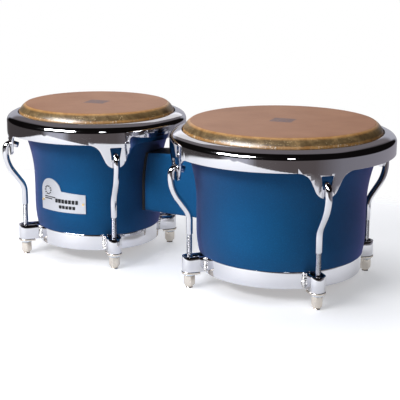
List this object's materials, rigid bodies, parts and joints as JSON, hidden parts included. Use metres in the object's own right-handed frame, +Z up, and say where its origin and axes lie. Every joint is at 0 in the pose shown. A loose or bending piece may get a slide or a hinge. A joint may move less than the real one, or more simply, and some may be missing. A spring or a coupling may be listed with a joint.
{
  "type": "bongo drums",
  "caption": "Pair of single-head hand drums, one small and one large, joined by a block, with chromed rims, ears, tuning hooks and nuts.",
  "frame": {"origin": "on the floor under the middle of the pair's bounding box", "axes": "+X from the small drum to the large drum, +Y away from the badge, +Z up"},
  "size_m": [0.4688, 0.2436, 0.178],
  "materials": {
    "shell_lacquer": "metallic lacquer shifting from teal to violet",
    "hide": "rawhide",
    "chrome": "polished",
    "steel": "nickel plated",
    "zinc": "zinc plated",
    "gasket": "matt",
    "brass": "polished"
  },
  "bodies": {
    "shells": {"small_shell": "shell_lacquer", "small_bottom_ring": "chrome", "small_lug_brackets": "chrome", "small_bracket_welds": "steel", "small_plate_washers": "steel", "small_round_washers": "zinc", "small_head_membrane": "hide", "small_head_collar": "hide", "small_block_gasket": "gasket", "small_block_bolts": "zinc", "small_bolt_washers": "zinc", "large_shell": "shell_lacquer", "large_bottom_ring": "chrome", "large_lug_brackets": "chrome", "large_bracket_welds": "steel", "large_plate_washers": "steel", "large_round_washers": "zinc", "large_head_membrane": "hide", "large_head_collar": "hide", "large_block_gasket": "gasket", "large_block_bolts": "zinc", "large_bolt_washers": "zinc", "centre_block": "shell_lacquer", "badge": "chrome", "badge_pins": "brass"},
    "small_tension": {"small_rim": "chrome", "small_flesh_hoop": "steel", "small_hide_tuck": "hide", "small_hook_back_right": "chrome", "small_hook_back_left": "chrome", "small_hook_front_left": "chrome", "small_hook_front_right": "chrome"},
    "small_nut_back_right": {"small_nut_back_right": "steel"},
    "small_nut_back_left": {"small_nut_back_left": "steel"},
    "small_nut_front_left": {"small_nut_front_left": "steel"},
    "small_nut_front_right": {"small_nut_front_right": "steel"},
    "large_tension": {"large_rim": "chrome", "large_flesh_hoop": "steel", "large_hide_tuck": "hide", "large_hook_back_right": "chrome", "large_hook_back_left": "chrome", "large_hook_front_left": "chrome", "large_hook_front_right": "chrome"},
    "large_nut_back_right": {"large_nut_back_right": "steel"},
    "large_nut_back_left": {"large_nut_back_left": "steel"},
    "large_nut_front_left": {"large_nut_front_left": "steel"},
    "large_nut_front_right": {"large_nut_front_right": "steel"}
  },
  "joints": [
    {"name": "small_tension", "type": "slide", "parent": "shells", "child": "small_tension", "axis": [0, 0, 1], "range_m": [-0.005, 0.003], "deforming": ["small_head_collar"]},
    {"name": "small_nut_back_right_turn", "type": "hinge", "parent": "shells", "child": "small_nut_back_right", "pos_m": [-0.06785, 0.06309, 0.007], "axis": [0, 0, 1], "range_deg": [-1100, 1820]},
    {"name": "small_nut_back_left_turn", "type": "hinge", "parent": "shells", "child": "small_nut_back_left", "pos_m": [-0.19229, 0.06135, 0.007], "axis": [0, 0, 1], "range_deg": [-1100, 1820]},
    {"name": "small_nut_front_left_turn", "type": "hinge", "parent": "shells", "child": "small_nut_front_left", "pos_m": [-0.19055, -0.06309, 0.007], "axis": [0, 0, 1], "range_deg": [-1100, 1820]},
    {"name": "small_nut_front_right_turn", "type": "hinge", "parent": "shells", "child": "small_nut_front_right", "pos_m": [-0.06611, -0.06135, 0.007], "axis": [0, 0, 1], "range_deg": [-1100, 1820]},
    {"name": "large_tension", "type": "slide", "parent": "shells", "child": "large_tension", "axis": [0, 0, 1], "range_m": [-0.005, 0.003], "deforming": ["large_head_collar"]},
    {"name": "large_nut_back_right_turn", "type": "hinge", "parent": "shells", "child": "large_nut_back_right", "pos_m": [0.18367, 0.07675, 0.007], "axis": [0, 0, 1], "range_deg": [-1100, 1820]},
    {"name": "large_nut_back_left_turn", "type": "hinge", "parent": "shells", "child": "large_nut_back_left", "pos_m": [0.03585, 0.07107, 0.007], "axis": [0, 0, 1], "range_deg": [-1100, 1820]},
    {"name": "large_nut_front_left_turn", "type": "hinge", "parent": "shells", "child": "large_nut_front_left", "pos_m": [0.04153, -0.07675, 0.007], "axis": [0, 0, 1], "range_deg": [-1100, 1820]},
    {"name": "large_nut_front_right_turn", "type": "hinge", "parent": "shells", "child": "large_nut_front_right", "pos_m": [0.18935, -0.07107, 0.007], "axis": [0, 0, 1], "range_deg": [-1100, 1820]}
  ],
  "couplings": [
    {"joint": "small_nut_back_right_turn", "follows": "small_tension", "rad_per_m": -6283.2},
    {"joint": "small_nut_back_left_turn", "follows": "small_tension", "rad_per_m": -6283.2},
    {"joint": "small_nut_front_left_turn", "follows": "small_tension", "rad_per_m": -6283.2},
    {"joint": "small_nut_front_right_turn", "follows": "small_tension", "rad_per_m": -6283.2},
    {"joint": "large_nut_back_right_turn", "follows": "large_tension", "rad_per_m": -6283.2},
    {"joint": "large_nut_back_left_turn", "follows": "large_tension", "rad_per_m": -6283.2},
    {"joint": "large_nut_front_left_turn", "follows": "large_tension", "rad_per_m": -6283.2},
    {"joint": "large_nut_front_right_turn", "follows": "large_tension", "rad_per_m": -6283.2}
  ]
}
